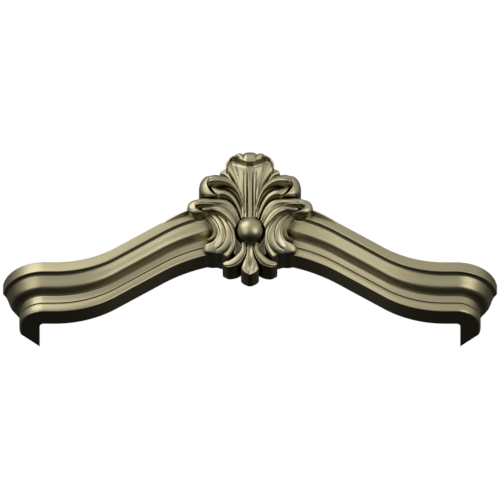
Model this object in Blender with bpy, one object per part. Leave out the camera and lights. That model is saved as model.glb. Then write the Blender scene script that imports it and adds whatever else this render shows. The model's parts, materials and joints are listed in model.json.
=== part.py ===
"""An arched cornice moulding for a cabinet or door head, with a carved acanthus cartouche at its crown.

The back of both pieces lies in the plane Y = 0, and the front faces -Y. X = 0 is the centre line. The
origin is on the moulding's flat back, halfway up its crown.
"""

import math

import bmesh
import bpy
import numpy as np
from mathutils import Vector

# Moulding in plan: the front between its corners, its thickness, its corners, and the returns' reach back
WIDTH_OVER_LOWER_BAND = 0.900
WALL = 0.040
CORNER_RADIUS = 0.048
RETURN_LENGTH = 0.0688
# Moulding in section: each band's height, and how far each one steps forward
LOWER_BAND_HEIGHT = 0.0205
FILLET_HEIGHT = 0.0029
BEAD_HEIGHT = 0.0144
COVE_HEIGHT = 0.0117
SECOND_BAND_HEIGHT = 0.0148
SOFFIT_HEIGHT = 0.0098
TOP_BAND_HEIGHT = 0.0224
QUIRK_DEPTH = 0.0031
GROOVE_DEPTH = 0.0042
COVE_PROJECTION = 0.0162
SECOND_BAND_LEAN = 0.0066
SOFFIT_PROJECTION = 0.0097
TOP_EDGE = 0.001
# Arch in elevation: rise at the crown, the hollow curve at its foot and the round one at its crown
ARCH_RISE = 0.1553
FOOT_CURVE_START = 0.380
FOOT_CURVE_RADIUS = 0.2074
CROWN_CURVE_RADIUS = 0.2962
# Lip along the top edge to each side of the carving: where it ends, where it starts, and its section
SHOULDER_HALF_LENGTH = 0.172
SHOULDER_START = 0.104
SHOULDER_HEIGHT = 0.0032
SHOULDER_PROJECTION = 0.0093
SHOULDER_DROP = 0.004
# Carving: its width, the ball at its centre, and the clearance where it is let over the moulding
CARVING_WIDTH = 0.246
BALL_RADIUS = 0.0292
FITTING_GAP = 0.0003
BALL_CENTRE = (0.0, 28.4, -13.0)
# Facets: steps along each arc, along the lip, along a leaf, and round and up the ball
ARC_STEPS = 7
CORNER_STEPS = 8
LIP_STEPS = 5
LEAF_STEPS = 14
BALL_STEPS = 20
BALL_RINGS = 6
# How far the tools that cut pieces to shape reach past them
CUTTER_REACH = 0.3
BACK_OVERRUN = 0.02

MOULDING_HEIGHT = (
    LOWER_BAND_HEIGHT
    + FILLET_HEIGHT
    + BEAD_HEIGHT
    + COVE_HEIGHT
    + SECOND_BAND_HEIGHT
    + SOFFIT_HEIGHT
    + TOP_BAND_HEIGHT
)
TOP_PROJECTION = COVE_PROJECTION + SECOND_BAND_LEAN + SOFFIT_PROJECTION
FRONT_DEPTH = WALL + TOP_PROJECTION
ORIGIN_HEIGHT = ARCH_RISE + MOULDING_HEIGHT / 2
# A leaf's points are in millimetres of a carving 246 mm wide
LEAF_UNIT = CARVING_WIDTH / 246


def clear_scene():
    for obj in list(bpy.data.objects):
        bpy.data.objects.remove(obj, do_unlink=True)


def bronze(name, colour, roughness):
    material = bpy.data.materials.new(name)
    material.use_nodes = True
    shader = material.node_tree.nodes["Principled BSDF"]
    shader.inputs["Base Color"].default_value = (*colour, 1)
    shader.inputs["Metallic"].default_value = 1.0
    shader.inputs["Roughness"].default_value = roughness
    return material


def mesh_object(name, points, faces):
    """A closed mesh, its faces turned outwards."""
    mesh = bpy.data.meshes.new(name)
    mesh.from_pydata([tuple(point) for point in points], [], faces)
    cleaned = bmesh.new()
    cleaned.from_mesh(mesh)
    bmesh.ops.recalc_face_normals(cleaned, faces=cleaned.faces)
    cleaned.to_mesh(mesh)
    cleaned.free()
    obj = bpy.data.objects.new(name, mesh)
    bpy.context.scene.collection.objects.link(obj)
    return obj


def grid_faces(rows, columns, first=0):
    """Quads between neighbours in a grid of points numbered row by row."""
    return [
        (
            first + row * columns + column,
            first + row * columns + column + 1,
            first + (row + 1) * columns + column + 1,
            first + (row + 1) * columns + column,
        )
        for row in range(rows - 1)
        for column in range(columns - 1)
    ]


def combine(target, other, operation):
    """Joins the other object to the target, or cuts it away, and hides the other one."""
    modifier = target.modifiers.new(other.name, "BOOLEAN")
    modifier.operation = operation
    modifier.solver = "EXACT"
    modifier.object = other
    other.hide_render = True
    other.display_type = "WIRE"


def box(name, low, high):
    corners = [(x, y, z) for z in (low[2], high[2]) for y in (low[1], high[1]) for x in (low[0], high[0])]
    faces = [(0, 1, 3, 2), (4, 5, 7, 6), (0, 1, 5, 4), (2, 3, 7, 6), (0, 2, 6, 4), (1, 3, 7, 5)]
    return mesh_object(name, corners, faces)


def moulding_profile():
    """The closed section as (forward of the lower band's face, height over its underside)."""
    fillet = LOWER_BAND_HEIGHT + FILLET_HEIGHT
    bead = fillet + BEAD_HEIGHT
    cove = bead + COVE_HEIGHT
    second = cove + SECOND_BAND_HEIGHT
    lean = COVE_PROJECTION + SECOND_BAND_LEAN
    lower_band = [(-2.4, 0.0), (-1.2, 0.03), (-0.6, 0.2), (-0.35, 0.41), (0.0, 0.66), (-0.15, 0.88)]
    points = [(-WALL, MOULDING_HEIGHT), (-WALL, 0.0)]
    points += [(QUIRK_DEPTH * out, LOWER_BAND_HEIGHT * up) for out, up in lower_band]
    # The narrow groove between the lower band and the bead
    for depth, up in ((0.0, 0.06), (GROOVE_DEPTH, 0.2), (GROOVE_DEPTH, 0.85), (0.0, 0.98)):
        points.append((-QUIRK_DEPTH - depth, LOWER_BAND_HEIGHT + FILLET_HEIGHT * up))
    for share in (0.35, 0.7, 1.0):
        points.append((QUIRK_DEPTH * (share**1.5 - 1), fillet + BEAD_HEIGHT * share))
    for out, up in [(0.17, 0.24), (0.39, 0.42), (0.62, 0.57), (0.83, 0.76), (1.0, 1.0)]:
        points.append((COVE_PROJECTION * out, bead + COVE_HEIGHT * up))
    points.append((COVE_PROJECTION + SECOND_BAND_LEAN * 0.5, cove + SECOND_BAND_HEIGHT * 0.5))
    points.append((lean, second))
    for out, up in [(0.32, 0.5), (0.66, 0.72), (0.94, 0.88), (1.0, 1.1)]:
        points.append((lean + SOFFIT_PROJECTION * out, second + SOFFIT_HEIGHT * up))
    points.append((TOP_PROJECTION, MOULDING_HEIGHT - TOP_EDGE))
    points.append((TOP_PROJECTION - TOP_EDGE, MOULDING_HEIGHT))
    return points


def arch_curves():
    """Slope of the straight run, where the foot curve ends, and where the crown curve starts."""
    across = FOOT_CURVE_START
    radii = FOOT_CURVE_RADIUS + CROWN_CURVE_RADIUS
    # The two arcs and the straight line that touches both: its slope solves the rise and the run
    reach = math.hypot(across, radii - ARCH_RISE)
    slope = math.atan2(across, radii - ARCH_RISE) - math.acos(min(1.0, radii / reach))
    foot_end = FOOT_CURVE_START - FOOT_CURVE_RADIUS * math.sin(slope)
    crown_start = CROWN_CURVE_RADIUS * math.sin(slope)
    return slope, foot_end, crown_start


def arch_height(x):
    """Height of the moulding's underside over its feet."""
    slope, foot_end, crown_start = arch_curves()
    x = abs(x)
    if x >= FOOT_CURVE_START:
        return 0.0
    if x >= foot_end:
        run = FOOT_CURVE_START - x
        return FOOT_CURVE_RADIUS - math.sqrt(FOOT_CURVE_RADIUS**2 - run**2)
    if x > crown_start:
        return FOOT_CURVE_RADIUS * (1 - math.cos(slope)) + (foot_end - x) * math.tan(slope)
    return ARCH_RISE - CROWN_CURVE_RADIUS + math.sqrt(CROWN_CURVE_RADIUS**2 - x**2)


def arch_stations():
    """The places across the right half where the arch needs a section, from its start to the crown."""
    slope, foot_end, crown_start = arch_curves()
    foot = [
        FOOT_CURVE_START - FOOT_CURVE_RADIUS * math.sin(slope * step / ARC_STEPS)
        for step in range(ARC_STEPS + 1)
    ]
    crown = [
        CROWN_CURVE_RADIUS * math.sin(slope * (1 - step / ARC_STEPS)) for step in range(ARC_STEPS + 1)
    ]
    return foot + crown


def plan_path():
    """Sections along the moulding as (x, y, direction of forward, lift), from the right end to the left."""
    corner_x = WIDTH_OVER_LOWER_BAND / 2 - CORNER_RADIUS
    corner_y = CORNER_RADIUS - WALL
    right = [(corner_x + CORNER_RADIUS, RETURN_LENGTH + BACK_OVERRUN, 0.0, 0.0)]
    for step in range(CORNER_STEPS + 1):
        turn = math.pi / 2 * step / CORNER_STEPS
        x = corner_x + CORNER_RADIUS * math.cos(turn)
        y = corner_y - CORNER_RADIUS * math.sin(turn)
        right.append((x, y, turn, 0.0))
    for x in arch_stations():
        right.append((x, -WALL, math.pi / 2, arch_height(x)))
    left = [(-x, y, math.pi - turn, lift) for x, y, turn, lift in reversed(right[:-1])]
    return right + left


def sweep(name, profile, path):
    """The profile carried along the path, closed with a flat cap at each end."""
    points = []
    for x, y, turn, lift in path:
        for out, up in profile:
            points.append((x + out * math.cos(turn), y - out * math.sin(turn), up + lift - ORIGIN_HEIGHT))
    count = len(profile)
    faces = []
    for section in range(len(path) - 1):
        for corner in range(count):
            following = (corner + 1) % count
            a = section * count
            b = a + count
            faces.append((a + corner, a + following, b + following, b + corner))
    faces.append(tuple(range(count)))
    faces.append(tuple(range((len(path) - 1) * count, len(path) * count)))
    return mesh_object(name, points, faces)


def mitre_cutter(name, side):
    """Cuts a return off at 45 degrees, where the next length of moulding joins it."""
    edge = WIDTH_OVER_LOWER_BAND / 2
    far = CUTTER_REACH
    face_end = RETURN_LENGTH - WALL
    near = (edge + far, face_end - far)
    back = (edge - far, face_end + far)
    outer = (near[0] + far, near[1] + far)
    rear = (back[0] + far, back[1] + far)
    levels = (-far - ORIGIN_HEIGHT, far)
    points = [(side * x, y, z) for z in levels for x, y in (near, outer, rear, back)]
    faces = [(0, 1, 2, 3), (4, 5, 6, 7), (0, 1, 5, 4), (1, 2, 6, 5), (2, 3, 7, 6), (3, 0, 4, 7)]
    return mesh_object(name, points, faces)


def shoulder(name, side, gap=0.0):
    """A lip along the moulding's top edge that comes forward towards the carving, or its clearance."""
    points = []
    for step in range(LIP_STEPS + 1):
        x = SHOULDER_START + (SHOULDER_HALF_LENGTH - SHOULDER_START) * step / LIP_STEPS
        share = (SHOULDER_HALF_LENGTH - x) / (SHOULDER_HALF_LENGTH - SHOULDER_START)
        # The lip starts a little inside the top band's face and under its edge
        front = -FRONT_DEPTH - SHOULDER_PROJECTION * share**0.7 + TOP_EDGE / 2 - gap
        top = arch_height(x) + MOULDING_HEIGHT - 1.4 * TOP_EDGE - SHOULDER_DROP * share**2 + gap
        bottom = top - SHOULDER_HEIGHT - 2 * gap
        rear = -FRONT_DEPTH + WALL / 4
        for y, z in ((front, bottom), (front, top), (rear, top), (rear, bottom)):
            points.append((side * x, y, z - ORIGIN_HEIGHT))
    count = 4
    faces = []
    for section in range(LIP_STEPS):
        for corner in range(count):
            following = (corner + 1) % count
            a = section * count
            b = a + count
            faces.append((a + corner, a + following, b + following, b + corner))
    faces.append((0, 1, 2, 3))
    faces.append(tuple(range(LIP_STEPS * count, (LIP_STEPS + 1) * count)))
    return mesh_object(name, points, faces)


def cornice_moulding():
    moulding = sweep("cornice_moulding", moulding_profile(), plan_path())
    combine(moulding, mitre_cutter("mitre_cutter_right", 1), "DIFFERENCE")
    combine(moulding, mitre_cutter("mitre_cutter_left", -1), "DIFFERENCE")
    combine(moulding, shoulder("lip_right", 1), "UNION")
    combine(moulding, shoulder("lip_left", -1), "UNION")
    moulding.data.materials.append(bronze("moulding_bronze", (0.30, 0.27, 0.17), 0.42))
    return moulding


def through(points, count):
    """Points along a smooth curve through the given ones."""
    given = np.array(points, dtype=float)
    padded = np.vstack([2 * given[0] - given[1], given, 2 * given[-1] - given[-2]])
    curve = []
    for place in np.linspace(0, len(given) - 1, count):
        span = min(int(place), len(given) - 2)
        t = place - span
        before, start, end, after = padded[span : span + 4]
        turn = 2 * before - 5 * start + 4 * end - after
        bend = 3 * start - before - 3 * end + after
        curve.append(0.5 * (2 * start + (end - before) * t + turn * t**2 + bend * t**3))
    return np.array(curve)


def carving_point(side, across, up, rise):
    """Millimetres from the crown's underside and the top band's face, in metres of the part."""
    return (
        side * across * LEAF_UNIT,
        -FRONT_DEPTH - rise * LEAF_UNIT,
        ARCH_RISE + up * LEAF_UNIT - ORIGIN_HEIGHT,
    )


def with_sides(name, face, rows, columns):
    """Closes a carved face: its sides run straight back past the moulding's back."""
    # Each piece is a little longer at the back than the one before, until all are cut off flush
    back = 0.002 + 0.0005 * len(bpy.data.objects)
    rear = [(x, back, z) for x, y, z in face]
    rim = list(range(columns))
    rim += [row * columns + columns - 1 for row in range(1, rows)]
    rim += [(rows - 1) * columns + column for column in range(columns - 2, -1, -1)]
    rim += [row * columns for row in range(rows - 2, 0, -1)]
    faces = grid_faces(rows, columns) + grid_faces(rows, columns, len(face))
    for here, there in zip(rim, rim[1:] + rim[:1]):
        faces.append((here, there, there + len(face), here + len(face)))
    return mesh_object(name, face + rear, faces)


def leaf(name, side, upper, lower, section, steps=LEAF_STEPS):
    """One carved leaf, its face swept between two edges."""
    first = through(upper, steps)
    second = through(lower, steps)
    widths = np.linalg.norm((first - second)[:, :2], axis=1)
    shares = (widths / widths.max()) ** 0.5
    face = []
    for a, b, swell in zip(first, second, shares):
        for across, rise in section:
            point = a + (b - a) * across
            face.append(carving_point(side, point[0], point[1], point[2] + rise * swell))
    return with_sides(name, face, steps, len(section))


def bar(name, side, spine, half_widths):
    """A rounded bar along a spine of (across, up, rise), with a half-width for each of its points."""
    places = [Vector(point[:2]) for point in spine]
    upper = []
    lower = []
    for index, (place, width) in enumerate(zip(places, half_widths)):
        along = places[min(index + 1, len(places) - 1)] - places[max(index - 1, 0)]
        normal = Vector((-along.y, along.x)).normalized() * width
        rise = spine[index][2]
        upper.append((place.x + normal.x, place.y + normal.y, rise))
        lower.append((place.x - normal.x, place.y - normal.y, rise))
    return leaf(name, side, upper, lower, ROD, steps=len(spine))


# Sections across a leaf: share of the width from its upper edge, and rise over the line between its edges
ROLLED_LIP = [(0.0, -2), (0.1, 3), (0.22, 8), (0.36, 8), (0.46, -7), (0.62, -5), (0.84, 1), (1.0, -4)]
BANDED = [(0.0, -2), (0.12, 3), (0.28, 6), (0.42, 6.5), (0.54, -1), (0.7, 3.5), (0.86, 4), (1.0, -4)]
FLUTED = [(0.0, -3), (0.08, 2), (0.17, -2), (0.32, 2), (0.5, -2), (0.64, 2), (0.82, 2), (1.0, -3)]
VOLUTE = [(0.0, -4), (0.05, 3.8), (0.25, 6.4), (0.6, 6), (1.0, 2)]
FLAT = [(0.0, -2.5), (0.2, 0.8), (0.8, 0.8), (1.0, -2.5)]
ROD = [(0.0, -6), (0.25, 2), (0.5, 5), (0.75, 2), (1.0, -6)]


def upper_scroll(side):
    top = [(6.8, 53.9, 2), (10.1, 79.4, 5), (16, 101.1, 11), (24.4, 117.7, 17)]
    top += [(36.1, 131.4, 21), (52.6, 140.8, 24), (72.1, 142, 25), (83.2, 135.1, 25)]
    foot = [(17.9, 53, -3), (21.8, 64.6, 3), (29.2, 79.5, 11), (40, 88.1, 19)]
    foot += [(52.6, 91.5, 23), (63.3, 91.6, 22), (73.1, 100.8, 22), (78.3, 114.8, 22)]
    return leaf(f"upper_scroll_{side}", side, top, foot, ROLLED_LIP)


def upper_roll(side):
    outer = [(70.2, 139, 20), (83.5, 142.5, 17), (94, 134, 14), (99.3, 119, 12)]
    outer += [(97.5, 104.5, 11), (91, 95, 10), (80, 90, 10)]
    inner = [(72.1, 128.8, 25), (80.9, 125.4, 26), (83.8, 117.8, 26), (82.8, 110, 25)]
    inner += [(80, 103.5, 24), (76.5, 98.5, 23), (70, 94, 22)]
    return leaf(f"upper_roll_{side}", side, outer, inner, VOLUTE, steps=13)


def upper_knob(side):
    """The rolled lip along the top of the upper scroll."""
    spine = [(10.7, 65.9, 7), (20.3, 94.8, 19), (28.1, 106.6, 25), (40.9, 115.5, 31)]
    spine += [(55.5, 119, 35), (70.2, 118, 37), (81.5, 114.5, 36)]
    return bar(f"upper_knob_{side}", side, spine, (0.8, 1.5, 2.2, 3.4, 5, 6.6, 5))


def middle_scroll(side):
    top = [(19.9, 48.9, 2), (24.9, 65.9, 6), (32.2, 79.9, 9), (42.9, 89.6, 12)]
    top += [(58.5, 92.3, 13), (78, 92.5, 14), (95.5, 90.6, 15), (109.1, 84.7, 16)]
    foot = [(29.6, 24.3, 4), (38, 34.5, 10), (47.8, 45.9, 13), (59.4, 54, 15)]
    foot += [(73.1, 58.6, 15), (85.8, 56.6, 14), (96.5, 61, 13), (103.3, 70.7, 13)]
    return leaf(f"middle_scroll_{side}", side, top, foot, BANDED)


def middle_roll(side):
    outer = [(95.5, 84.5, 14), (108.5, 86, 12), (119.6, 79.5, 10), (123, 68.5, 8)]
    outer += [(119.5, 58.5, 6), (110.5, 51.5, 5), (98, 49.5, 5)]
    inner = [(97.5, 74.1, 18), (105.2, 71.6, 18), (105.5, 66.5, 17), (103.5, 63, 16)]
    inner += [(100.5, 60.3, 15), (97, 58.3, 14.5), (91, 56.5, 14)]
    return leaf(f"middle_roll_{side}", side, outer, inner, VOLUTE, steps=13)


def middle_knob(side):
    """The rounded end of the middle scroll's top band."""
    spine = [(66, 71.5, 18), (76, 70, 22), (88, 67.8, 25), (99, 65.8, 26), (107.5, 64.5, 24.5)]
    return bar(f"middle_knob_{side}", side, spine, (1, 2.2, 3.6, 4.4, 3.4))


def lower_leaf(side):
    outer = [(50, -22, -29), (41, -19, -26), (33, -9.5, -19), (30, 2, -11), (30, 15, -5)]
    outer += [(34, 28, 0), (45, 46, 2), (58, 58, 2), (72, 61, 2), (86, 59, 2)]
    inner = [(82, -11, -30), (87.5, -4, -25), (85.5, 3, -20), (74, 5, -14), (68, 11, -9)]
    inner += [(66, 20, -4), (67, 30, -1), (71, 39, 0), (78, 47, 0), (86, 53, 0)]
    return leaf(f"lower_leaf_{side}", side, outer, inner, FLUTED, steps=16)


def small_leaf(side):
    outer = [(16.6, 122.6, -4), (24.4, 149.7, 0), (35.1, 168.9, 3), (45.8, 174.4, 4), (56.1, 171.2, 3)]
    inner = [(19.5, 104.7, -6), (28.3, 131.7, -3), (39.6, 150.9, 0), (49.7, 161.9, 1), (58.6, 166, 0)]
    return leaf(f"small_leaf_{side}", side, outer, inner, FLAT, steps=9)


def drop_leaf(side):
    upper = [(16.6, 5.4, -16), (17.9, -9.9, -19), (26.9, -20.1, -25), (39, -25.5, -31), (46.8, -26.8, -34)]
    upper += [(53.4, -30.8, -36.5)]
    lower = [(7.2, 4.2, -16), (8.2, -19.2, -20), (16, -32.8, -28), (26.3, -40.8, -33), (40.9, -43.4, -36)]
    lower += [(52.6, -36.6, -38)]
    return leaf(f"drop_leaf_{side}", side, upper, lower, FLAT, steps=13)


def tongue():
    """The drop at the foot of the carving, below the ball."""
    right = [(6, 8.4, -18), (6.2, -9, -20), (8.8, -25.2, -23.5), (14.2, -35.4, -28), (17.7, -45, -32)]
    right += [(13.6, -54, -35.5), (3.9, -60.4, -37)]
    left = [(-across, up, rise) for across, up, rise in right]
    return leaf("tongue", 1, right, left, FLAT, steps=13)


def palmette():
    """The trumpet-shaped leaf that rises from the ball and rolls forward at its rim."""
    # For each place from the centre to the left edge: outline, lip, and the hollow's rise and height
    outline = [(0, 190.5, 36.5), (8, 189.5, 36.5), (13, 186.5, 35.5), (19, 188.6, 35.5), (25, 188, 34.5)]
    outline += [(29, 186, 32.5), (34, 185.5, 30.5), (41, 181.5, 27.5), (46.5, 172, 24.5), (46.5, 164, 18.5)]
    lip = [(0, 164.2, 39), (7.5, 165, 39), (13, 168.5, 38.5), (19.5, 173, 37), (25, 177.5, 35.2)]
    lip += [(29.5, 181, 33), (34, 182.6, 30.5), (38.5, 180.3, 27.5), (42.2, 173.5, 24), (44, 164, 16)]
    hollow = [(27, 8), (27, 8), (26, 9), (24.5, 9), (22.5, 11)]
    hollow += [(20.5, 11), (19.5, 9), (20, 5), (19, 3), (14, 1)]
    fineness = 100
    rims = [through(given, fineness + 1) for given in (outline, lip, hollow)]
    turns = (0.05, 0.09, 0.14, 0.21, 0.26, 0.34, 0.44, 0.54, 0.62, 0.7, 0.78, 0.86, 0.93, 1.0)
    stations = [(-1, turn) for turn in reversed(turns)] + [(1, 0.0)] + [(1, turn) for turn in turns]
    rows = [("leaf", share) for share in (0.0, 0.3, 0.55, 0.75, 0.9, 1.0)]
    rows += [("cove", 0.5), ("cove", 1.0), ("rim", 0.3), ("rim", 0.7), ("rim", 1.0)]
    face = []
    for kind, share in rows:
        for side, turn in stations:
            edge, fold, (depth, cove) = (curve[round(turn * fineness)] for curve in rims)
            root = palmette_root(turn)
            if kind == "leaf":
                x = root + (fold[0] - root) * share**2.4
                z = 52 + (fold[1] - cove - 52) * share
                rise = 3 + (depth - 3) * share**3 + flute(turn) * (1 - share**12)
            elif kind == "cove":
                angle = share * math.pi / 2
                x = fold[0]
                z = fold[1] - cove * (1 - math.sin(angle))
                rise = depth + (fold[2] - depth) * (1 - math.cos(angle))
            else:
                x = fold[0] + (edge[0] - fold[0]) * share
                z = fold[1] + (edge[1] - fold[1]) * share
                bulge = (4.5 + scallop(turn)) * math.sin(math.pi * share) - share**6
                rise = fold[2] + (edge[2] - fold[2]) * share + bulge
            face.append(carving_point(side, x, z, rise))
    return with_sides("palmette", face, len(rows), len(stations))


def flute(turn):
    """Rise across the palmette: a flat middle rib, a groove, and two rounded flutes to each side."""
    places = [0, 0.05, 0.09, 0.14, 0.21, 0.26, 0.4, 0.6, 0.86, 1.0]
    rises = [1.5, 1.5, -3, 1, -1.2, 0.4, 1.8, 2.2, 1.6, -3]
    return float(np.interp(turn, places, rises))


def scallop(turn):
    """How much the rolled rim sinks between its lobes, in millimetres."""
    return float(np.interp(turn, [0.1, 0.21, 0.34, 0.44, 0.54, 1.0], [0, -3.5, 0, -1, -3, -3.5]))


def palmette_root(turn):
    """How far from the centre line a flute of the palmette starts, in millimetres."""
    return float(np.interp(turn, [0, 0.06, 0.09, 0.21, 1], [0, 4, 5.6, 11.5, 15.5]))


def ground(side):
    """The sunk field that the leaves stand on."""
    inner = [(-1, -32, -44), (-1, 0, -25), (-1, 40, -14), (-1, 100, -8), (-1, 160, -6)]
    outer = [(14, -28, -44), (35, -5, -28), (60, 40, -14), (85, 105, -8), (40, 155, -6)]
    return leaf(f"ground_{side}", side, outer, inner, [(0.0, 0), (1.0, 0)], steps=9)


def ball():
    """A half ball on a round boss, at the centre of the carving."""
    x, y, z = carving_point(1, *BALL_CENTRE)
    points = []
    for ring in range(BALL_RINGS):
        tilt = math.pi / 2 * ring / BALL_RINGS
        reach = BALL_RADIUS * math.cos(tilt)
        for step in range(BALL_STEPS):
            turn = 2 * math.pi * step / BALL_STEPS
            forward = y - BALL_RADIUS * math.sin(tilt)
            points.append((x + reach * math.cos(turn), forward, z + reach * math.sin(turn)))
    points.append((x, y - BALL_RADIUS, z))
    pole = len(points) - 1
    points += [(px, BACK_OVERRUN, pz) for px, py, pz in points[:BALL_STEPS]]
    faces = [tuple(range(pole + 1, pole + 1 + BALL_STEPS))]
    for step in range(BALL_STEPS):
        following = (step + 1) % BALL_STEPS
        for ring in range(BALL_RINGS - 1):
            a = ring * BALL_STEPS
            b = a + BALL_STEPS
            faces.append((a + step, a + following, b + following, b + step))
        last = (BALL_RINGS - 1) * BALL_STEPS
        faces.append((last + step, last + following, pole))
        faces.append((step, following, pole + 1 + following, pole + 1 + step))
    return mesh_object("ball", points, faces)


def grown(profile, gap):
    """The profile moved outwards by the gap."""
    points = []
    count = len(profile)
    for index, here in enumerate(profile):
        before = np.array(profile[index - 1])
        after = np.array(profile[(index + 1) % count])
        along = (after - before) / np.linalg.norm(after - before)
        outwards = np.array([along[1], -along[0]])
        points.append(tuple(np.array(here) + outwards * gap))
    return points


def moulding_clearance():
    """The space that the moulding takes up behind the carving, with the fitting gap round it."""
    profile = grown(moulding_profile(), FITTING_GAP)
    # Its back runs past the carving's own back, and its ends past the carving's width
    profile = [(-WALL - BACK_OVERRUN if out < -WALL / 2 else out, up) for out, up in profile]
    path = [station for station in plan_path() if abs(station[0]) < CARVING_WIDTH]
    return sweep("moulding_clearance", profile, path)


def cartouche():
    carving = palmette()
    carving.name = "cartouche"
    makers = (ground, upper_roll, upper_scroll, upper_knob, middle_roll, middle_scroll, middle_knob)
    makers += (lower_leaf, small_leaf, drop_leaf)
    for side in (1, -1):
        for make in makers:
            combine(carving, make(side), "UNION")
    combine(carving, tongue(), "UNION")
    combine(carving, ball(), "UNION")
    combine(carving, moulding_clearance(), "DIFFERENCE")
    combine(carving, shoulder("lip_clearance_right", 1, FITTING_GAP), "DIFFERENCE")
    combine(carving, shoulder("lip_clearance_left", -1, FITTING_GAP), "DIFFERENCE")
    far = CUTTER_REACH
    combine(carving, box("back_cutter", (-far, 0.0, -far), (far, far, far)), "DIFFERENCE")
    carving.data.materials.append(bronze("cartouche_bronze", (0.34, 0.31, 0.20), 0.38))
    return carving


def main():
    clear_scene()
    for piece in (cornice_moulding(), cartouche()):
        piece.data.shade_smooth()
        piece.data.set_sharp_from_angle(angle=math.radians(35))


main()
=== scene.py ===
"""The looks of the arched cornice and its carved cartouche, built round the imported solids.

The back of both pieces lies in the plane Y = 0, the front faces -Y and X = 0 is the centre line.
"""

import json
import math

import bmesh
import bpy
import numpy as np
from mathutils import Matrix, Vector

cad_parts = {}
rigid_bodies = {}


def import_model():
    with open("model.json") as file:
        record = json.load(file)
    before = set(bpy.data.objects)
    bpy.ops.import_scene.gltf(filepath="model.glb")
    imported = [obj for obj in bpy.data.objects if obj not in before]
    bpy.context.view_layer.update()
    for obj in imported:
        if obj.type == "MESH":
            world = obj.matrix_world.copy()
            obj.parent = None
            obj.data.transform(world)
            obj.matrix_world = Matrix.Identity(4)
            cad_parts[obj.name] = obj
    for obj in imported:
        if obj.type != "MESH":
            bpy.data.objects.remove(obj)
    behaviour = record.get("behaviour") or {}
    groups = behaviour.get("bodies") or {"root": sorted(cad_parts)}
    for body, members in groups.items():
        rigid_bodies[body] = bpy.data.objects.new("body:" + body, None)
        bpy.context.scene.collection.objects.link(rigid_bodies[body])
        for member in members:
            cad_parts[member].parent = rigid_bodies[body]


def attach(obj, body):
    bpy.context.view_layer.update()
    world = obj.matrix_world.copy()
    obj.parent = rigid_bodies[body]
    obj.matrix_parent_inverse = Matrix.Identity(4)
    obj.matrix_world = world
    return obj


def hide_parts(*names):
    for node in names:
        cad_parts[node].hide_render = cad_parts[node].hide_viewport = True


# Moulding in plan and in section, in metres, as the solids have it
WIDTH_OVER_LOWER_BAND = 0.900
WALL = 0.040
CORNER_RADIUS = 0.048
CORNER_INSET = 0.0003
RETURN_LENGTH = 0.0688
LOWER_BAND_HEIGHT = 0.0205
FILLET_HEIGHT = 0.0029
BEAD_HEIGHT = 0.0144
COVE_HEIGHT = 0.0117
SECOND_BAND_HEIGHT = 0.0148
SOFFIT_HEIGHT = 0.0098
TOP_BAND_HEIGHT = 0.0224
QUIRK_DEPTH = 0.0031
COVE_PROJECTION = 0.0162
SECOND_BAND_LEAN = 0.0066
SOFFIT_PROJECTION = 0.0097
TOP_EDGE = 0.001
ARCH_RISE = 0.1553
FOOT_CURVE_START = 0.380
FOOT_CURVE_RADIUS = 0.2074
CROWN_CURVE_RADIUS = 0.2962
SHOULDER_HALF_LENGTH = 0.172
SHOULDER_START = 0.104
SHOULDER_HEIGHT = 0.0032
SHOULDER_PROJECTION = 0.0105
SHOULDER_DROP = 0.002
GROOVE_DEPTH = 0.0042
BEAD_LIP = 0.0006
BAND_ROUNDING = 0.0015
# Carving, with the ball's centre in the carving's own millimetres
CARVING_WIDTH = 0.246
BALL_RADIUS = 0.0292
BALL_CENTRE = (0.0, 28.4, -13.0)
BOSS_BACK = -0.001
# How far a leaf's rounded end sinks, as a share of its length, and how far apart the flat backs lie
END_SINK = 0.8
BACK_STEP = 0.00004
# Camera: a parallel view from the front and below
VIEW_ELEVATION = math.radians(-40)
VIEW_WIDTH = 0.9745
VIEW_DISTANCE = 2.0
# In the photo: the row of the feet's underside in the back plane, the middle row, and the rows in a metre up
FEET_ROW = 323.82
MIDDLE_ROW = 250
ROWS_PER_METRE = 393.02
# Fineness of the meshes
LIP_STEPS = 40
ARC_STEPS = 48
CORNER_STEPS = 40
LEAF_ROWS = 64
LEAF_COLUMNS = 76
BALL_RINGS = 32
BALL_STEPS = 80
MOULDING_CREASE = 32

MOULDING_HEIGHT = (
    LOWER_BAND_HEIGHT
    + FILLET_HEIGHT
    + BEAD_HEIGHT
    + COVE_HEIGHT
    + SECOND_BAND_HEIGHT
    + SOFFIT_HEIGHT
    + TOP_BAND_HEIGHT
)
TOP_PROJECTION = COVE_PROJECTION + SECOND_BAND_LEAN + SOFFIT_PROJECTION
FRONT_DEPTH = WALL + TOP_PROJECTION
ORIGIN_HEIGHT = ARCH_RISE + MOULDING_HEIGHT / 2
# A leaf's points are in millimetres of a carving 246 mm wide
LEAF_UNIT = CARVING_WIDTH / 246


def through(points, count):
    """Points along a smooth curve through the given ones."""
    given = np.array(points, dtype=float)
    padded = np.vstack([2 * given[0] - given[1], given, 2 * given[-1] - given[-2]])
    curve = []
    for place in np.linspace(0, len(given) - 1, count):
        span = min(int(place), len(given) - 2)
        t = place - span
        before, start, end, after = padded[span : span + 4]
        turn = 2 * before - 5 * start + 4 * end - after
        bend = 3 * start - before - 3 * end + after
        curve.append(0.5 * (2 * start + (end - before) * t + turn * t**2 + bend * t**3))
    return np.array(curve)


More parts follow.
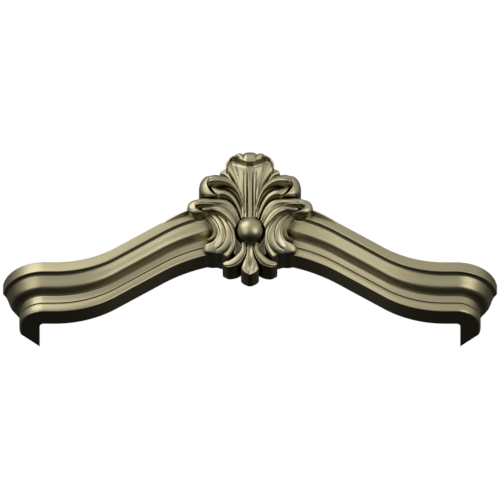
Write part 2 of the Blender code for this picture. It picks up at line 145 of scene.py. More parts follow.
def mesh_object(name, points, faces, crease=40):
    """A mesh object, its faces turned outwards and shaded smooth up to the crease angle in degrees."""
    mesh = bpy.data.meshes.new(name)
    mesh.from_pydata([tuple(point) for point in points], [], faces)
    cleaned = bmesh.new()
    cleaned.from_mesh(mesh)
    bmesh.ops.recalc_face_normals(cleaned, faces=cleaned.faces)
    cleaned.to_mesh(mesh)
    cleaned.free()
    mesh.shade_smooth()
    mesh.set_sharp_from_angle(angle=math.radians(crease))
    obj = bpy.data.objects.new(name, mesh)
    bpy.context.scene.collection.objects.link(obj)
    return obj


def grid_faces(rows, columns):
    return [
        (
            row * columns + column,
            row * columns + column + 1,
            (row + 1) * columns + column + 1,
            (row + 1) * columns + column,
        )
        for row in range(rows - 1)
        for column in range(columns - 1)
    ]


def moulding_profile():
    """The closed section as (forward of the lower band's face, height over its underside)."""
    fillet = LOWER_BAND_HEIGHT + FILLET_HEIGHT
    bead = fillet + BEAD_HEIGHT
    cove = bead + COVE_HEIGHT
    second = cove + SECOND_BAND_HEIGHT
    lean = COVE_PROJECTION + SECOND_BAND_LEAN
    points = [(-WALL, MOULDING_HEIGHT), (-WALL, 0.0)]
    # The points of each form are shares of its depth and of its height
    lower_band = [(-3.1, 0.0), (-1.6, 0.005), (-0.8, 0.09), (-0.35, 0.28), (-0.15, 0.45)]
    lower_band += [(0.0, 0.64), (-0.02, 0.75), (-0.2, 0.89), (-0.6, 0.97), (-1.0, 1.02)]
    for out, up in through(lower_band, 28):
        points.append((QUIRK_DEPTH * out, LOWER_BAND_HEIGHT * max(0.0, up)))
    for out, up in ((0.0, 0.06), (1.0, 0.2), (1.0, 0.85), (0.0, 0.98)):
        points.append((-QUIRK_DEPTH - GROOVE_DEPTH * out, LOWER_BAND_HEIGHT + FILLET_HEIGHT * up))
    for up in np.linspace(0, 1, 13):
        out = QUIRK_DEPTH * (up**1.5 - 1) - BEAD_LIP * up**8
        points.append((out, fillet + BEAD_HEIGHT * up))
    cove_curve = [(0.03, 0.08), (0.17, 0.24), (0.39, 0.4), (0.62, 0.56)]
    cove_curve += [(0.83, 0.76), (0.95, 0.93), (1.03, 1.1)]
    for out, up in through(cove_curve, 18):
        points.append((COVE_PROJECTION * out, bead + COVE_HEIGHT * up))
    points.append((COVE_PROJECTION + SECOND_BAND_LEAN / 2, cove + SECOND_BAND_HEIGHT / 2))
    soffit = [(-0.12, -0.18), (0.0, 0.02), (0.12, 0.28), (0.32, 0.5)]
    soffit += [(0.66, 0.72), (0.9, 0.84), (0.99, 0.96), (1.0, 1.15)]
    for out, up in through(soffit, 20):
        points.append((lean + SOFFIT_PROJECTION * min(1.0, out), second + SOFFIT_HEIGHT * up))
    for turn in np.linspace(0, math.pi / 2, 5):
        out = TOP_PROJECTION - BAND_ROUNDING * (1 - math.cos(turn))
        points.append((out, MOULDING_HEIGHT - BAND_ROUNDING * (1 - math.sin(turn))))
    return points


def arch_curves():
    """Slope of the straight run, where the foot curve ends, and where the crown curve starts."""
    across = FOOT_CURVE_START
    radii = FOOT_CURVE_RADIUS + CROWN_CURVE_RADIUS
    reach = math.hypot(across, radii - ARCH_RISE)
    slope = math.atan2(across, radii - ARCH_RISE) - math.acos(min(1.0, radii / reach))
    foot_end = FOOT_CURVE_START - FOOT_CURVE_RADIUS * math.sin(slope)
    crown_start = CROWN_CURVE_RADIUS * math.sin(slope)
    return slope, foot_end, crown_start


def arch_height(x):
    """Height of the moulding's underside over its feet."""
    slope, foot_end, crown_start = arch_curves()
    x = abs(x)
    if x >= FOOT_CURVE_START:
        return 0.0
    if x >= foot_end:
        run = FOOT_CURVE_START - x
        return FOOT_CURVE_RADIUS - math.sqrt(FOOT_CURVE_RADIUS**2 - run**2)
    if x > crown_start:
        return FOOT_CURVE_RADIUS * (1 - math.cos(slope)) + (foot_end - x) * math.tan(slope)
    return ARCH_RISE - CROWN_CURVE_RADIUS + math.sqrt(CROWN_CURVE_RADIUS**2 - x**2)


def arch_stations():
    """The places across the right half where the arch gets a section, from its start to the crown."""
    slope, foot_end, crown_start = arch_curves()
    foot = [
        FOOT_CURVE_START - FOOT_CURVE_RADIUS * math.sin(slope * step / ARC_STEPS)
        for step in range(ARC_STEPS + 1)
    ]
    crown = [
        CROWN_CURVE_RADIUS * math.sin(slope * (1 - step / ARC_STEPS)) for step in range(ARC_STEPS + 1)
    ]
    return foot + crown


def plan_path():
    """Sections along the moulding as (x, y, direction of forward, lift), from the right end to the left."""
    # The solid's corner has flats, so this rounder one stands a hair further in
    corner_x = WIDTH_OVER_LOWER_BAND / 2 - CORNER_RADIUS - CORNER_INSET
    corner_y = CORNER_RADIUS - WALL
    right = [(corner_x + CORNER_RADIUS, RETURN_LENGTH + 0.02, 0.0, 0.0)]
    for step in range(CORNER_STEPS + 1):
        turn = math.pi / 2 * step / CORNER_STEPS
        x = corner_x + CORNER_RADIUS * math.cos(turn)
        y = corner_y - CORNER_RADIUS * math.sin(turn)
        right.append((x, y, turn, 0.0))
    for x in arch_stations():
        right.append((x, -WALL, math.pi / 2, arch_height(x)))
    left = [(-x, y, math.pi - turn, lift) for x, y, turn, lift in reversed(right[:-1])]
    return right + left


def tube_faces(rings, count):
    """Faces between equal rings of points, with a flat cap at each end."""
    faces = []
    for ring in range(rings - 1):
        for corner in range(count):
            following = (corner + 1) % count
            a = ring * count
            b = a + count
            faces.append((a + corner, a + following, b + following, b + corner))
    faces.append(tuple(range(count)))
    faces.append(tuple(range((rings - 1) * count, rings * count)))
    return faces


def sweep(name, profile, path):
    """The profile carried along the path, closed with a flat cap at each end."""
    points = []
    for x, y, turn, lift in path:
        for out, up in profile:
            points.append((x + out * math.cos(turn), y - out * math.sin(turn), up + lift - ORIGIN_HEIGHT))
    return mesh_object(name, points, tube_faces(len(path), len(profile)), crease=MOULDING_CREASE)


def cut_mitre(obj, side):
    """Cuts a return off at 45 degrees and closes the cut."""
    mesh = bmesh.new()
    mesh.from_mesh(obj.data)
    edge = Vector((side * (WIDTH_OVER_LOWER_BAND / 2 - CORNER_INSET), RETURN_LENGTH - WALL, 0))
    away = Vector((side, 1, 0)).normalized()
    everything = mesh.verts[:] + mesh.edges[:] + mesh.faces[:]
    cut = bmesh.ops.bisect_plane(
        mesh, geom=everything, plane_co=edge, plane_no=away, clear_outer=True, dist=1e-6
    )
    rim = [item for item in cut["geom_cut"] if isinstance(item, bmesh.types.BMEdge)]
    bmesh.ops.holes_fill(mesh, edges=rim, sides=0)
    mesh.to_mesh(obj.data)
    mesh.free()
    obj.data.set_sharp_from_angle(angle=math.radians(MOULDING_CREASE))


def shoulder(side):
    """The lip along the moulding's top edge that comes forward towards the carving."""
    rear = -FRONT_DEPTH + WALL / 4
    soft = TOP_EDGE / 2
    points = []
    for step in range(LIP_STEPS + 1):
        share = 1 - step / LIP_STEPS
        x = SHOULDER_HALF_LENGTH - (SHOULDER_HALF_LENGTH - SHOULDER_START) * share
        front = soft - FRONT_DEPTH - SHOULDER_PROJECTION * share**0.7
        top = arch_height(x) + MOULDING_HEIGHT - 1.4 * TOP_EDGE - SHOULDER_DROP * share**2
        bottom = top - SHOULDER_HEIGHT
        section = [(front + soft, bottom), (front, bottom + soft), (front, top - soft)]
        section += [(front + soft, top), (rear, top), (rear, bottom)]
        points += [(side * x, y, z - ORIGIN_HEIGHT) for y, z in section]
    return mesh_object("shoulder", points, tube_faces(LIP_STEPS + 1, len(section)))


def carving_point(side, across, up, rise):
    """Millimetres from the crown's underside and the top band's face, in metres of the part."""
    return (
        side * across * LEAF_UNIT,
        -FRONT_DEPTH - rise * LEAF_UNIT,
        ARCH_RISE + up * LEAF_UNIT - ORIGIN_HEIGHT,
    )


def with_sides(name, face, rows, columns):
    """Closes a carved face: its sides run straight back to a flat back."""
    # Each back lies a hair in front of the last one, so that no two share a plane
    back = -BACK_STEP * len(bpy.data.objects)
    rim = list(range(columns))
    rim += [row * columns + columns - 1 for row in range(1, rows)]
    rim += [(rows - 1) * columns + column for column in range(columns - 2, -1, -1)]
    rim += [row * columns for row in range(rows - 2, 0, -1)]
    rear = [(face[index][0], back, face[index][2]) for index in rim]
    faces = grid_faces(rows, columns)
    for place, here in enumerate(rim):
        following = (place + 1) % len(rim)
        faces.append((here, rim[following], len(face) + following, len(face) + place))
    faces.append(tuple(range(len(face), len(face) + len(rim))))
    return mesh_object(name, face + rear, faces)


def leaf(
    name,
    side,
    upper,
    lower,
    root,
    tip=None,
    change=(0.0, 1.0),
    ends=(0.0, 0.0),
    rows=LEAF_ROWS,
    columns=LEAF_COLUMNS,
):
    """One carved leaf, swept between two edges.

    Its section changes from root to tip between the two given shares of its length. Its ends can be
    rounded over a length in millimetres.
    """
    first = through(upper, rows)
    second = through(lower, rows)
    widths = np.linalg.norm((first - second)[:, :2], axis=1)
    shares = (widths / widths.max()) ** 0.5
    middle = (first + second) / 2
    steps = np.linalg.norm(np.diff(middle, axis=0)[:, :2], axis=1)
    along = np.concatenate([[0], np.cumsum(steps)])
    start = through(root, columns)
    finish = through(tip or root, columns)
    face = []
    for a, b, swell, place in zip(first, second, shares, along):
        drop = 0.0
        for length, distance in zip(ends, (place, along[-1] - place)):
            if length and distance < length:
                drop += length * END_SINK * (1 - math.sqrt(1 - (1 - distance / length) ** 2))
        mix = min(1.0, max(0.0, (place / along[-1] - change[0]) / (change[1] - change[0])))
        for across, rise in start + (finish - start) * mix:
            point = a + (b - a) * across
            face.append(carving_point(side, point[0], point[1], point[2] + rise * swell - drop))
    return with_sides(name, face, rows, columns)


def bar(name, side, spine, half_widths, section, ends):
    """A rounded bar along a spine of (across, up, rise), with a half-width for each of its points."""
    places = [Vector(point[:2]) for point in spine]
    upper = []
    lower = []
    for index, (place, width) in enumerate(zip(places, half_widths)):
        along = places[min(index + 1, len(places) - 1)] - places[max(index - 1, 0)]
        normal = Vector((-along.y, along.x)).normalized() * width
        rise = spine[index][2]
        upper.append((place.x + normal.x, place.y + normal.y, rise))
        lower.append((place.x - normal.x, place.y - normal.y, rise))
    return leaf(name, side, upper, lower, section, ends=ends, rows=40, columns=32)


# Sections across a leaf: share of the width from its upper edge, and rise over the line between its edges
LIP_ROOT = [(0.0, -1), (0.04, 0.5), (0.1, 2), (0.15, 2.5), (0.2, 0), (0.26, -1.5)]
LIP_ROOT += [(0.34, -1), (0.5, 0), (0.65, 1.2), (0.8, 1.8), (0.93, 1), (1.0, -3)]
LIP_TIP = [(0.0, -1), (0.05, 2), (0.12, 5), (0.22, 8.5), (0.32, 10), (0.4, 9), (0.44, 5), (0.47, -3)]
LIP_TIP += [(0.5, -6), (0.54, -5), (0.6, -1), (0.7, 2.5), (0.82, 3.5), (0.92, 1.5), (1.0, -4)]
BAND_ROOT = [(0.0, -1), (0.06, 1), (0.14, 2), (0.22, 1), (0.27, -1), (0.32, 0), (0.36, -1), (0.41, 0)]
BAND_ROOT += [(0.45, -1), (0.5, 0.5), (0.6, 2.5), (0.72, 3.5), (0.84, 3), (0.94, 1), (1.0, -3)]
BAND_TIP = [(0.0, -2), (0.06, 1.5), (0.16, 4.5), (0.28, 6.5), (0.38, 7), (0.45, 6), (0.5, 3), (0.54, -0.5)]
BAND_TIP += [(0.58, -1), (0.64, 1.5), (0.72, 4), (0.8, 5), (0.88, 4), (0.95, 0.5), (1.0, -4)]
LIP = [(0.0, -6), (0.05, -3), (0.12, 0), (0.25, 2.8), (0.42, 4.4)]
LIP += [(0.6, 5), (0.76, 4.4), (0.88, 2), (0.95, -2), (1.0, -6)]
DISHED = [(0.0, -4), (0.03, -1), (0.1, 0), (0.3, 0), (0.5, 0), (0.7, 0), (0.84, 0.5), (0.94, -1), (1.0, -5)]
LOBED = [(0.0, -4), (0.04, -1.5), (0.12, 0.4), (0.25, 1), (0.4, 1.4), (0.52, 1.8)]
LOBED += [(0.64, 2.2), (0.76, 2), (0.86, 1), (0.95, -1.5), (1.0, -5)]
STRIP = [(0.0, -1.8), (0.05, -0.4), (0.14, 0.6), (0.34, 1.2), (0.56, 1.2)]
STRIP += [(0.76, 0.9), (0.88, 0.4), (0.95, -0.6), (1.0, -1.8)]
ROUND = [(0.0, -6), (0.05, -3), (0.15, 0.5), (0.32, 4), (0.5, 5)]
ROUND += [(0.68, 4), (0.85, 0.5), (0.95, -3), (1.0, -6)]
VOLUTE = [(0.0, -4), (0.02, 0), (0.05, 3.8), (0.1, 5), (0.2, 6.2)]
VOLUTE += [(0.35, 6.8), (0.5, 6.6), (0.7, 5.7), (0.9, 4), (1.0, 2)]
FLAT = [(0.0, -2.5), (0.04, -0.5), (0.1, 0.3), (0.3, 1.2), (0.5, 1.5)]
FLAT += [(0.7, 1.2), (0.9, 0.3), (0.96, -0.5), (1.0, -2.5)]
CHANNEL = [(0.0, 1), (0.1, 1.6), (0.22, 0.4), (0.4, -1.2), (0.56, -1)]
CHANNEL += [(0.68, 0.6), (0.8, 2.2), (0.9, 1.6), (1.0, -2.5)]
CRESCENT = [(0.0, -3), (0.04, -0.5), (0.12, 0.8), (0.3, 1.8), (0.5, 1.8), (0.66, 1.4), (0.73, 0.2)]
CRESCENT += [(0.77, -1.4), (0.81, 0), (0.86, 0.8), (0.92, 0), (0.97, -2), (1.0, -4)]
TONGUE_ROOT = [(0.0, -2), (0.06, 0.5), (0.14, 1.5), (0.24, 1), (0.34, 0), (0.42, -0.5), (0.5, -0.5)]
TONGUE_ROOT += [(0.58, -0.5), (0.66, 0), (0.76, 1), (0.86, 1.5), (0.94, 0.5), (1.0, -2)]
TONGUE_TIP = [(0.0, -4), (0.05, -1.2), (0.14, 1), (0.24, 2), (0.34, 1.8), (0.42, 0.4), (0.5, -0.4)]
TONGUE_TIP += [(0.58, 0.4), (0.66, 1.8), (0.76, 2), (0.86, 1), (0.95, -1.2), (1.0, -4)]


def upper_scroll(side):
    top = [(6.8, 53.9, 2), (10.1, 79.4, 5), (16, 101.1, 11), (24.4, 117.7, 17)]
    top += [(36.1, 131.4, 21), (52.6, 140.8, 24), (72.1, 142, 25), (83.2, 135.1, 25)]
    foot = [(17.9, 53, -3), (21.8, 64.6, 3), (29.2, 79.5, 11), (40, 88.1, 19)]
    foot += [(52.6, 91.5, 23), (63.3, 91.6, 22), (73.1, 100.8, 22), (78.3, 114.8, 22)]
    return leaf("upper_scroll", side, top, foot, LIP_ROOT, LIP_TIP, ends=(0, 4))


def upper_roll(side):
    outer = [(70.2, 139, 20), (83.5, 142.5, 17), (94, 134.5, 14), (99.4, 120, 12)]
    outer += [(96.9, 103.6, 11), (88.7, 94.6, 10), (76, 92.5, 10), (60.4, 94.4, 12)]
    inner = [(72.1, 128.8, 25), (80.9, 125.4, 26), (83.8, 117.8, 26), (81.3, 107.2, 25)]
    inner += [(76, 99.4, 23), (70.2, 94.1, 22), (64.3, 91.9, 21), (58.5, 92.3, 20)]
    return leaf("upper_roll", side, outer, inner, VOLUTE, ends=(3, 3), rows=56, columns=40)


def upper_knob(side):
    """The rolled lip along the top of the upper scroll, with its rounded end."""
    spine = [(10.7, 65.9, 7), (15, 80.8, 13), (20.3, 94.8, 19), (28.1, 106.6, 25)]
    spine += [(40.9, 115.5, 31), (55.5, 119, 35), (70.2, 118, 37), (81.5, 114.5, 36)]
    return bar("upper_knob", side, spine, (0.8, 1.1, 1.5, 2.2, 3.4, 5, 6.6, 5), LIP, (0, 5))


def middle_scroll(side):
    top = [(19.9, 48.9, 2), (24.9, 65.9, 6), (32.2, 79.9, 9), (42.9, 89.6, 12)]
    top += [(58.5, 92.3, 13), (78, 92.5, 14), (95.5, 90.6, 15), (109.1, 84.7, 16)]
    foot = [(29.6, 24.3, 4), (38, 34.5, 10), (47.8, 45.9, 13), (59.4, 54, 15)]
    foot += [(73.1, 58.6, 15), (85.8, 56.6, 14), (96.5, 61, 13), (103.3, 70.7, 13)]
    return leaf("middle_scroll", side, top, foot, BAND_ROOT, BAND_TIP, ends=(0, 4))


def middle_roll(side):
    outer = [(95.5, 84.5, 14), (108.5, 86, 12), (119.4, 79.5, 10), (123, 68.5, 8)]
    outer += [(118.9, 58.2, 6), (107.2, 51.9, 5), (94.5, 51.9, 5), (82.8, 57.9, 7)]
    inner = [(97.5, 74.1, 18), (105.2, 71.6, 18), (104.9, 65.5, 17), (100.8, 60, 16)]
    inner += [(95.5, 56.8, 15), (90.6, 55.6, 14), (86.1, 55.4, 13), (81.9, 55.9, 13)]
    return leaf("middle_roll", side, outer, inner, VOLUTE, ends=(3, 3), rows=56, columns=40)


def middle_knob(side):
    """The rounded end of the middle scroll's top band."""
    spine = [(66, 71.5, 18), (76, 70, 22), (88, 67.8, 25), (99, 65.8, 26), (107.5, 64.5, 24.5)]
    return bar("middle_knob", side, spine, (1, 2.2, 3.6, 4.4, 3.4), LIP, (0, 3.5))


def lower_leaf(side):
    outer = [(79.9, 64.2, 1), (60.4, 62.1, 2), (44.8, 49.8, 1.5), (35, 31, -1)]
    outer += [(31.2, 13.6, -6), (31.5, 2.1, -11), (34, -5, -16), (39, -10.5, -21)]
    outer += [(45, -14, -25), (50.5, -15.5, -28), (55.5, -15.5, -30), (60, -14, -31)]
    inner = [(84.8, 55.6, 0), (76.4, 47.5, 0), (69.8, 36.6, -1), (67.6, 25.9, -4)]
    inner += [(69.4, 16.5, -8), (75, 6.7, -13), (87.7, 3, -18.5), (91.2, -3.5, -22.5)]
    inner += [(89.5, -9.5, -26.5), (82.5, -13, -29), (73, -14.5, -30.5), (64, -14, -31)]
    return leaf(
        "lower_leaf", side, outer, inner, DISHED, LOBED, (0.3, 0.6), ends=(4, 2), rows=84, columns=56
    )


def lower_strips(side):
    """The three long flutes that lie side by side along the lower leaf."""
    first = [(53.6, 65.5, 3), (45.6, 55.8, 4), (37.4, 41.7, 3.5), (31.2, 25.9, 1)]
    first += [(28.8, 10.6, -4), (29.2, -4.3, -10.5), (35.5, -17.5, -19), (45.2, -25.9, -27)]
    second = [(54.6, 58.6, 3), (47.8, 47.2, 4), (40.9, 32.7, 3.5), (35.9, 20, 1)]
    second += [(34.3, 6.4, -4), (37.4, -5, -11.5), (44.8, -13.2, -19.5), (54.5, -17.5, -27.5)]
    third = [(69.2, 61.2, 3), (63.1, 54.8, 4), (54.2, 40, 3.5), (48.7, 23.4, 1)]
    third += [(48.3, 10.2, -4.5), (52.2, -0.9, -11), (61, -7.5, -18.5), (76, -9.5, -27)]
    fourth = [(81.9, 61.8, 2), (75.2, 54.9, 3), (65.9, 40.4, 3), (60.6, 25.7, 0.5)]
    fourth += [(61, 14.9, -4.5), (65.7, 6.8, -10.5), (73.5, 2, -17), (84, -1.5, -24)]
    strips = [leaf("strip", side, first, second, STRIP, ends=(3, 3), rows=60, columns=24)]
    strips.append(leaf("strip", side, second, third, STRIP, ends=(3, 0), rows=60, columns=24))
    strips.append(leaf("strip", side, third, fourth, STRIP, ends=(3, 0), rows=60, columns=24))
    return join("lower_strips", strips)


def lower_rim(side):
    spine = [(85.2, 54.8, 1), (76.4, 46.6, 1), (69.8, 35.8, 0), (67.6, 24.6, -2.5)]
    spine += [(69.6, 15.3, -6.5), (76, 9.5, -10.5), (84.6, 7, -13)]
    return bar("lower_rim", side, spine, (2, 2.6, 2.8, 3, 3, 2.6, 1.6), CHANNEL, (0, 3))


def small_leaf(side):
    outer = [(16.6, 122.6, -4), (24.4, 149.7, 0), (35.1, 168.9, 3), (45.8, 174.4, 4), (56.1, 171.2, 3)]
    inner = [(19.5, 104.7, -6), (28.3, 131.7, -3), (39.6, 150.9, 0), (49.7, 161.9, 1), (58.6, 166, 0)]
    return leaf("small_leaf", side, outer, inner, FLAT, ends=(0, 2), rows=40, columns=32)


def drop_leaf(side):
    upper = [(16.6, 5.4, -16), (17.9, -9.9, -19), (26.9, -20.1, -25)]
    upper += [(39, -25.5, -31), (46.8, -26.8, -34), (53.4, -30.8, -36.5)]
    lower = [(7.2, 4.2, -16), (8.2, -19.2, -20), (16, -32.8, -28)]
    lower += [(26.3, -40.8, -33), (40.9, -43.4, -36), (52.6, -36.6, -38)]
    return leaf("drop_leaf", side, upper, lower, CRESCENT, ends=(0, 2), columns=56)


def tongue():
    """The drop at the foot of the carving, below the ball."""
    right = [(6, 8.4, -18), (6.2, -9, -20), (8.8, -25.2, -23.5), (14.2, -35.4, -28)]
    right += [(17.7, -46.3, -32), (13.6, -54, -35.5), (3.9, -60.4, -37)]
    left = [(-across, up, rise) for across, up, rise in right]
    return leaf("tongue", 1, right, left, TONGUE_ROOT, TONGUE_TIP, (0.2, 0.7), (0, 3), columns=60)


def teardrop():
    """The pointed drop that stands in the tongue's hollow."""
    spine = [(0, -19, -25.5), (0, -25, -26), (0, -32, -27.5), (0, -38.5, -30), (0, -44.5, -33)]
    return bar("teardrop", 1, spine, (0.8, 1.8, 2.6, 2, 0.8), ROUND, (0, 0))


def ground(side):
    """The sunk field that the leaves stand on."""
    inner = [(-1, -32, -44), (-1, 0, -25), (-1, 40, -14), (-1, 100, -8), (-1, 160, -6)]
    outer = [(14, -28, -44), (35, -5, -28), (60, 40, -14), (85, 105, -8), (40, 155, -6)]
    return leaf("ground", side, outer, inner, [(0.0, 0), (1.0, 0)], rows=30, columns=2)


def palmette():
    """The trumpet-shaped leaf that rises from the ball and rolls forward at its rim."""
    # For each place from the centre to the left edge: outline, lip, and the hollow's rise and height
    outline = [(0, 190.4, 36.5), (8, 189.4, 36.5), (13, 186.5, 35.5), (19, 188.6, 35.5)]
    outline += [(25, 188, 34.5), (29, 186, 32.5), (34, 185.5, 30.5), (41, 181.5, 27.5)]
    outline += [(46.5, 172, 24.5), (46.5, 164, 18.5)]
    lip = [(0, 164.2, 39), (7.5, 165, 39), (13, 168.5, 38.5), (19.5, 173, 37), (25, 177.5, 35.2)]
    lip += [(29.5, 181, 33), (34, 182.6, 30.5), (38.5, 180.3, 27.5), (42.2, 173.5, 24), (44, 164, 16)]
    hollow = [(27, 8), (27, 8), (26, 9), (24.5, 9), (22.5, 11)]
    hollow += [(20.5, 11), (19.5, 9), (20, 5), (19, 3), (14, 1)]
    half = 121
    rims = [through(given, half) for given in (outline, lip, hollow)]
    stations = []
    for index in range(-(half - 1), half):
        edge, fold, depth = (curve[abs(index)] for curve in rims)
        side = -1 if index < 0 else 1
        stations.append((abs(index) / (half - 1), side, edge, fold, depth))
    rows = [("leaf", step / 50) for step in range(51)]
    rows += [("cove", step / 18) for step in range(1, 19)]
    rows += [("rim", step / 12) for step in range(1, 13)]
    face = []
    for kind, share in rows:
        for turn, side, edge, fold, (depth, cove) in stations:
            root = palmette_root(turn)
            if kind == "leaf":
                x = root + (fold[0] - root) * share**2.4
                z = 52 + (fold[1] - cove - 52) * share
                rise = 3 + (depth - 3) * share**3 + flute(turn) * (1 - share**12)
            elif kind == "cove":
                angle = share * math.pi / 2
                x = fold[0]
                z = fold[1] - cove * (1 - math.sin(angle))
                rise = depth + (fold[2] - depth) * (1 - math.cos(angle))
            else:
                x = fold[0] + (edge[0] - fold[0]) * share
                z = fold[1] + (edge[1] - fold[1]) * share
                bulge = (4.1 + scallop(turn)) * math.sin(math.pi * share) - share**6
                rise = fold[2] + (edge[2] - fold[2]) * share + bulge
            face.append(carving_point(side, x, z, rise))
    return with_sides("palmette", face, len(rows), len(stations))


def flute(turn):
    """Rise across the palmette: a flat middle rib, a groove, and two rounded flutes to each side."""
    places = [0, 0.05, 0.065, 0.085, 0.105, 0.15, 0.19, 0.215, 0.26, 0.4, 0.6, 0.85, 0.96, 1.0]
    rises = [1.5, 1.5, 0.6, -3.5, -0.5, 1, 0.6, -1.5, 0.4, 1.8, 2.2, 1.6, 0, -3]
    return float(np.interp(turn, places, rises))


def scallop(turn):
    """How much the rolled rim swells or sinks across its lobes, in millimetres."""
    places = [0, 0.1, 0.18, 0.22, 0.27, 0.38, 0.5, 0.55, 0.6, 0.7, 1]
    return float(np.interp(turn, places, [0, 0, -1.5, -3.5, -1.5, 0, -1.5, -3, -2.5, -3.5, -3.5]))


def palmette_root(turn):
    """How far from the centre line a flute of the palmette starts, in millimetres."""
    return float(np.interp(turn, [0, 0.06, 0.085, 0.215, 1], [0, 4, 5.6, 11.5, 15.5]))


def ball():
    """A half ball on a round boss, at the centre of the carving."""
    x, y, z = carving_point(1, *BALL_CENTRE)
    turns = [2 * math.pi * step / BALL_STEPS for step in range(BALL_STEPS)]
    circle = [(math.cos(turn), math.sin(turn)) for turn in turns]
    points = [(x + BALL_RADIUS * across, BOSS_BACK, z + BALL_RADIUS * up) for across, up in circle]
    for ring in range(BALL_RINGS):
        tilt = math.pi / 2 * ring / BALL_RINGS
        reach = BALL_RADIUS * math.cos(tilt)
        forward = y - BALL_RADIUS * math.sin(tilt)
        points += [(x + reach * across, forward, z + reach * up) for across, up in circle]
    faces = tube_faces(BALL_RINGS + 1, BALL_STEPS)[:-1]
    last = BALL_RINGS * BALL_STEPS
    pole = len(points)
    points.append((x, y - BALL_RADIUS, z))
    for step in range(BALL_STEPS):
        faces.append((last + step, last + (step + 1) % BALL_STEPS, pole))
    return mesh_object("ball", points, faces)


def join(name, pieces):
    """Several meshes made one piece."""
    with bpy.context.temp_override(active_object=pieces[0], selected_editable_objects=pieces):
        bpy.ops.object.join()
    pieces[0].name = name
    return pieces[0]


def bronze(name, light, dark, roughness, deepest):
    """Satin antique bronze over carved wood, with painted shade darkening the hollows and a painted
    highlight along the edges.

    The painted shade is at its darkest where a hollow is open to the share of the light called deepest.
    """
    material = bpy.data.materials.new(name)
    material.use_nodes = True
    nodes = material.node_tree.nodes
    links = material.node_tree.links
    shader = nodes["Principled BSDF"]
    shader.inputs["Metallic"].default_value = 1.0
    place = nodes.new("ShaderNodeTexCoord")
    clouds = nodes.new("ShaderNodeTexNoise")
    clouds.inputs["Scale"].default_value = 9.0
    clouds.inputs["Detail"].default_value = 6.0
    links.new(place.outputs["Object"], clouds.inputs["Vector"])
    mix = nodes.new("ShaderNodeMix")
    mix.data_type = "RGBA"
    mix.inputs["A"].default_value = (*light, 1)
    mix.inputs["B"].default_value = (*dark, 1)
    links.new(clouds.outputs["Fac"], mix.inputs["Factor"])
    # Painted shade: a dark brown mixed into the colour in hollows and crevices, where shade falls
    recess = nodes.new("ShaderNodeAmbientOcclusion")
    recess.samples = 8
    recess.inputs["Distance"].default_value = 0.02
    depth = nodes.new("ShaderNodeMapRange")
    depth.inputs["From Min"].default_value = deepest
    depth.inputs["From Max"].default_value = 0.92
    links.new(recess.outputs["AO"], depth.inputs["Value"])
    painted_shade = nodes.new("ShaderNodeMix")
    painted_shade.data_type = "RGBA"
    painted_shade.inputs["A"].default_value = (0.05, 0.042, 0.02, 1)
    links.new(depth.outputs["Result"], painted_shade.inputs["Factor"])
    links.new(mix.outputs["Result"], painted_shade.inputs["B"])
    # Painted highlight: a pale colour mixed in along convex edges, where they catch the light
    edge = nodes.new("ShaderNodeAmbientOcclusion")
    edge.samples = 8
    edge.inside = True
    edge.inputs["Distance"].default_value = 0.003
    painted_highlight = nodes.new("ShaderNodeMapRange")
    painted_highlight.inputs["From Min"].default_value = 0.9
    painted_highlight.inputs["From Max"].default_value = 0.45
    painted_highlight.inputs["To Max"].default_value = 0.7
    links.new(edge.outputs["AO"], painted_highlight.inputs["Value"])
    highlighted = nodes.new("ShaderNodeMix")
    highlighted.data_type = "RGBA"
    highlighted.inputs["B"].default_value = (0.76, 0.70, 0.50, 1)
    links.new(painted_highlight.outputs["Result"], highlighted.inputs["Factor"])
    links.new(painted_shade.outputs["Result"], highlighted.inputs["A"])
    links.new(highlighted.outputs["Result"], shader.inputs["Base Color"])
    grain = nodes.new("ShaderNodeTexNoise")
    grain.inputs["Scale"].default_value = 420.0
    grain.inputs["Detail"].default_value = 3.0
    links.new(place.outputs["Object"], grain.inputs["Vector"])
    rough = nodes.new("ShaderNodeMapRange")
    rough.inputs["To Min"].default_value = roughness - 0.05
    rough.inputs["To Max"].default_value = roughness + 0.05
    links.new(clouds.outputs["Fac"], rough.inputs["Value"])
    links.new(rough.outputs["Result"], shader.inputs["Roughness"])
    bump = nodes.new("ShaderNodeBump")
    bump.inputs["Strength"].default_value = 0.06
    bump.inputs["Distance"].default_value = 0.0004
    links.new(grain.outputs["Fac"], bump.inputs["Height"])
    links.new(bump.outputs["Normal"], shader.inputs["Normal"])
    return material


def make_moulding():
    moulding = sweep("moulding", moulding_profile(), plan_path())
    cut_mitre(moulding, 1)
    cut_mitre(moulding, -1)
    moulding = join("moulding", [moulding, shoulder(1), shoulder(-1)])
    moulding.data.materials.clear()
    finish = bronze("moulding_bronze", (0.60, 0.55, 0.35), (0.52, 0.46, 0.27), 0.36, 0.44)
    moulding.data.materials.append(finish)
    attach(moulding, "root")
    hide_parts("cornice_moulding")


def make_carving():
    pieces = [palmette(), tongue(), teardrop(), ball()]
    makers = (ground, upper_roll, upper_scroll, upper_knob, middle_roll, middle_scroll, middle_knob)
    makers += (lower_leaf, lower_strips, lower_rim, small_leaf, drop_leaf)
    for side in (1, -1):
        for make in makers:
            pieces.append(make(side))
    carving = join("carving", pieces)
    carving.data.materials.clear()
    finish = bronze("carving_bronze", (0.62, 0.57, 0.37), (0.53, 0.47, 0.28), 0.34, 0.33)
    carving.data.materials.append(finish)
    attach(carving, "root")
    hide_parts("cartouche")


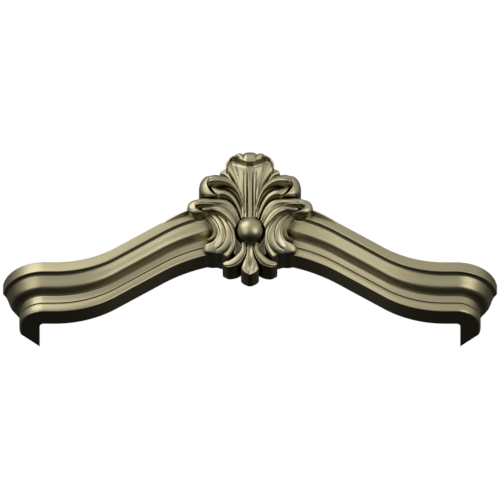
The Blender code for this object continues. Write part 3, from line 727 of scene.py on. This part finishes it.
def make_camera():
    camera = bpy.data.objects.new("camera", bpy.data.cameras.new("camera"))
    bpy.context.scene.collection.objects.link(camera)
    camera.data.type = "ORTHO"
    camera.data.ortho_scale = VIEW_WIDTH
    back = Vector((0, -math.cos(VIEW_ELEVATION), math.sin(VIEW_ELEVATION)))
    # The photo's middle row crosses the back plane at this height
    centre = Vector((0, 0, (FEET_ROW - MIDDLE_ROW) / ROWS_PER_METRE - ORIGIN_HEIGHT))
    camera.location = centre + back * VIEW_DISTANCE
    camera.rotation_euler = (-back).to_track_quat("-Z", "Y").to_euler()
    bpy.context.scene.camera = camera


def area_light(name, toward, size, power, distance):
    """A softbox in the given direction from the part, facing it."""
    lamp = bpy.data.lights.new(name, "AREA")
    lamp.shape = "DISK"
    lamp.size = size
    lamp.energy = power
    obj = bpy.data.objects.new(name, lamp)
    direction = Vector(toward).normalized()
    obj.location = direction * distance
    obj.rotation_euler = (-direction).to_track_quat("-Z", "Y").to_euler()
    bpy.context.scene.collection.objects.link(obj)


def make_floor():
    """A plain pale floor far below, which the metal doesn't mirror."""
    floor = mesh_object("floor", [(-6, -6, 0), (6, -6, 0), (6, 6, 0), (-6, 6, 0)], [(0, 1, 2, 3)])
    floor.location.z = -1.7
    pale = bpy.data.materials.new("floor_paint")
    pale.use_nodes = True
    paint = pale.node_tree.nodes["Principled BSDF"]
    paint.inputs["Base Color"].default_value = (0.85, 0.85, 0.84, 1)
    paint.inputs["Emission Color"].default_value = (0.85, 0.85, 0.84, 1)
    paint.inputs["Emission Strength"].default_value = 0.5
    floor.data.materials.append(pale)
    floor.visible_glossy = False


def maths(tree, operation, *values, clamp=False):
    """The result of a maths node whose inputs are numbers or other nodes' results."""
    node = tree.nodes.new("ShaderNodeMath")
    node.operation = operation
    node.use_clamp = clamp
    for socket, value in zip(node.inputs, values):
        if isinstance(value, bpy.types.NodeSocket):
            tree.links.new(value, socket)
        else:
            socket.default_value = value
    return node.outputs["Value"]


def make_surround():
    """White to the camera and a soft light to the metal, strongest in front, above and at the sides."""
    world = bpy.data.worlds.new("studio")
    bpy.context.scene.world = world
    world.use_nodes = True
    tree = world.node_tree
    place = tree.nodes.new("ShaderNodeTexCoord")
    split = tree.nodes.new("ShaderNodeSeparateXYZ")
    tree.links.new(place.outputs["Generated"], split.inputs["Vector"])
    x, y, z = split.outputs
    sides = maths(tree, "MULTIPLY_ADD", maths(tree, "ABSOLUTE", x), 0.22, 0.13)
    front = maths(tree, "MULTIPLY_ADD", y, -0.70, sides)
    above = maths(tree, "MULTIPLY_ADD", z, 0.36, front, clamp=True)
    brightest = maths(tree, "MINIMUM", above, 0.72)
    behind = maths(tree, "MULTIPLY_ADD", z, 0.17, 0.22)
    glow = maths(tree, "POWER", maths(tree, "MAXIMUM", brightest, behind), 2.0)
    white = tree.nodes["Background"]
    white.inputs["Color"].default_value = (1, 1, 1, 1)
    soft = tree.nodes.new("ShaderNodeBackground")
    tree.links.new(glow, soft.inputs["Color"])
    path = tree.nodes.new("ShaderNodeLightPath")
    choose = tree.nodes.new("ShaderNodeMixShader")
    tree.links.new(path.outputs["Is Camera Ray"], choose.inputs["Fac"])
    tree.links.new(soft.outputs["Background"], choose.inputs[1])
    tree.links.new(white.outputs["Background"], choose.inputs[2])
    tree.links.new(choose.outputs["Shader"], tree.nodes["World Output"].inputs["Surface"])


def make_studio():
    make_floor()
    make_surround()
    area_light("key_left", (-0.525, -0.74, 0.42), size=2.0, power=13, distance=2.2)
    area_light("key_right", (0.64, -0.68, -0.32), size=3.2, power=31, distance=4.5)
    area_light("low_left", (-0.62, -0.68, -0.38), size=3.2, power=18, distance=4.5)


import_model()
bpy.context.scene.view_settings.view_transform = "Standard"
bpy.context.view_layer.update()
make_camera()
make_moulding()
make_carving()
make_studio()
